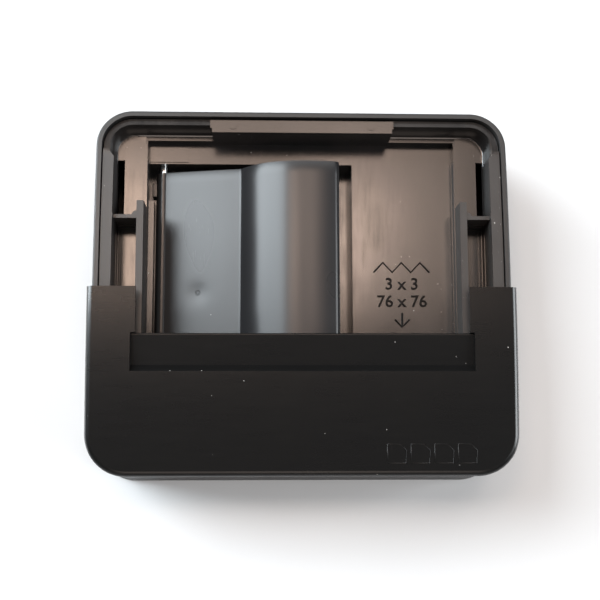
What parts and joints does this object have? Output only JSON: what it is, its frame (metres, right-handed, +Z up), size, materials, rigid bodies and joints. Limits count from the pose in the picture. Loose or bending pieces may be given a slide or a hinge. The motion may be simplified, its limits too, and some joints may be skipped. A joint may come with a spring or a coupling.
{
  "type": "pop-up note dispenser",
  "caption": "Weighted desk dispenser for Z-fold pop-up notes: open pad pocket with a sprung hinged follower leaf, side rails and a front cover that slides forward to load a pad.",
  "frame": {"origin": "on the desk under the middle of the base", "axes": "+X right along the long side, -Y front where the sliding cover is, +Z up out of the pad pocket"},
  "size_m": [0.1036, 0.0918, 0.0337],
  "materials": {
    "shell_plastic": "satin, black",
    "tray_plastic": "glossy, black",
    "cover_plastic": "satin, black",
    "leaf_plastic": "glossy, black",
    "plate_plastic": "matte, black",
    "foot_rubber": "matte, dark grey",
    "bright_steel": "bright",
    "weight_steel": "plain rolled"
  },
  "bodies": {
    "base": {"base_shell": "shell_plastic", "tray": "tray_plastic", "bottom_plate": "plate_plastic", "weight_left": "weight_steel", "weight_right": "weight_steel", "weight_screw_left": "bright_steel", "weight_screw_right": "bright_steel", "screw_left_front": "bright_steel", "screw_left_rear": "bright_steel", "screw_right_front": "bright_steel", "screw_right_rear": "bright_steel", "foot_left_front": "foot_rubber", "foot_left_rear": "foot_rubber", "foot_right_front": "foot_rubber", "foot_right_rear": "foot_rubber", "hinge_pin": "bright_steel", "spring_front": "bright_steel", "spring_rear": "bright_steel"},
    "follower_leaf": {"follower": "leaf_plastic"},
    "cover": {"front_cover": "cover_plastic"}
  },
  "joints": [
    {"name": "follower_hinge", "type": "hinge", "parent": "base", "child": "follower_leaf", "pos_m": [-0.0348, 0, 0.0148], "axis": [0, 1, 0], "range_deg": [0, 16], "stiffness_Nm_per_rad": 0.055, "springref_deg": -20.05, "deforming": ["spring_front", "spring_rear"]},
    {"name": "cover_slide", "type": "slide", "parent": "base", "child": "cover", "axis": [0, -1, 0], "range_m": [0, 0.0295]}
  ]
}
